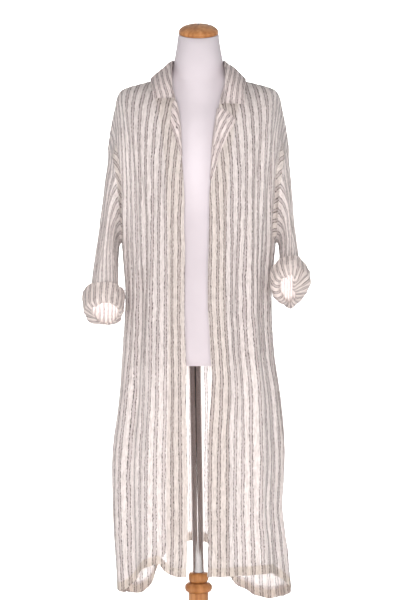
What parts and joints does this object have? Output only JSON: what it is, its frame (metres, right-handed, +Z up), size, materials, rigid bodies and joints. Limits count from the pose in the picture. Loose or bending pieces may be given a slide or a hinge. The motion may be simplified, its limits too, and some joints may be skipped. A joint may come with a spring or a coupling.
{
  "type": "duster coat on dress form",
  "caption": "Long open striped duster coat with notched collar and rolled sleeves, resting on a limbless dress form with a steel pole and turned wooden foot.",
  "frame": {"origin": "on the floor, at the middle of the foot's underside", "axes": "+Z up along the pole, -Y towards the coat's open front, +X to the right as seen from the front"},
  "size_m": [0.5003, 0.35, 1.5189],
  "materials": {
    "striped_cloth": "crinkled gauze, cream with grey-taupe stripes",
    "thread": "twisted thread",
    "form_skin": "smooth pale shell",
    "turned_wood": "varnished turned wood",
    "polished_steel": "polished"
  },
  "bodies": {
    "root": {"back": "striped_cloth", "front_left": "striped_cloth", "front_right": "striped_cloth", "facing_left": "striped_cloth", "facing_right": "striped_cloth", "lapel_left": "striped_cloth", "lapel_right": "striped_cloth", "collar": "striped_cloth", "sleeve_left": "striped_cloth", "sleeve_right": "striped_cloth", "turnup_left": "striped_cloth", "turnup_right": "striped_cloth", "belt_loop": "thread", "torso": "form_skin", "neck_cap": "turned_wood", "cap_plug": "polished_steel", "pole": "polished_steel", "hub": "turned_wood", "foot": "turned_wood"}
  },
  "joints": []
}
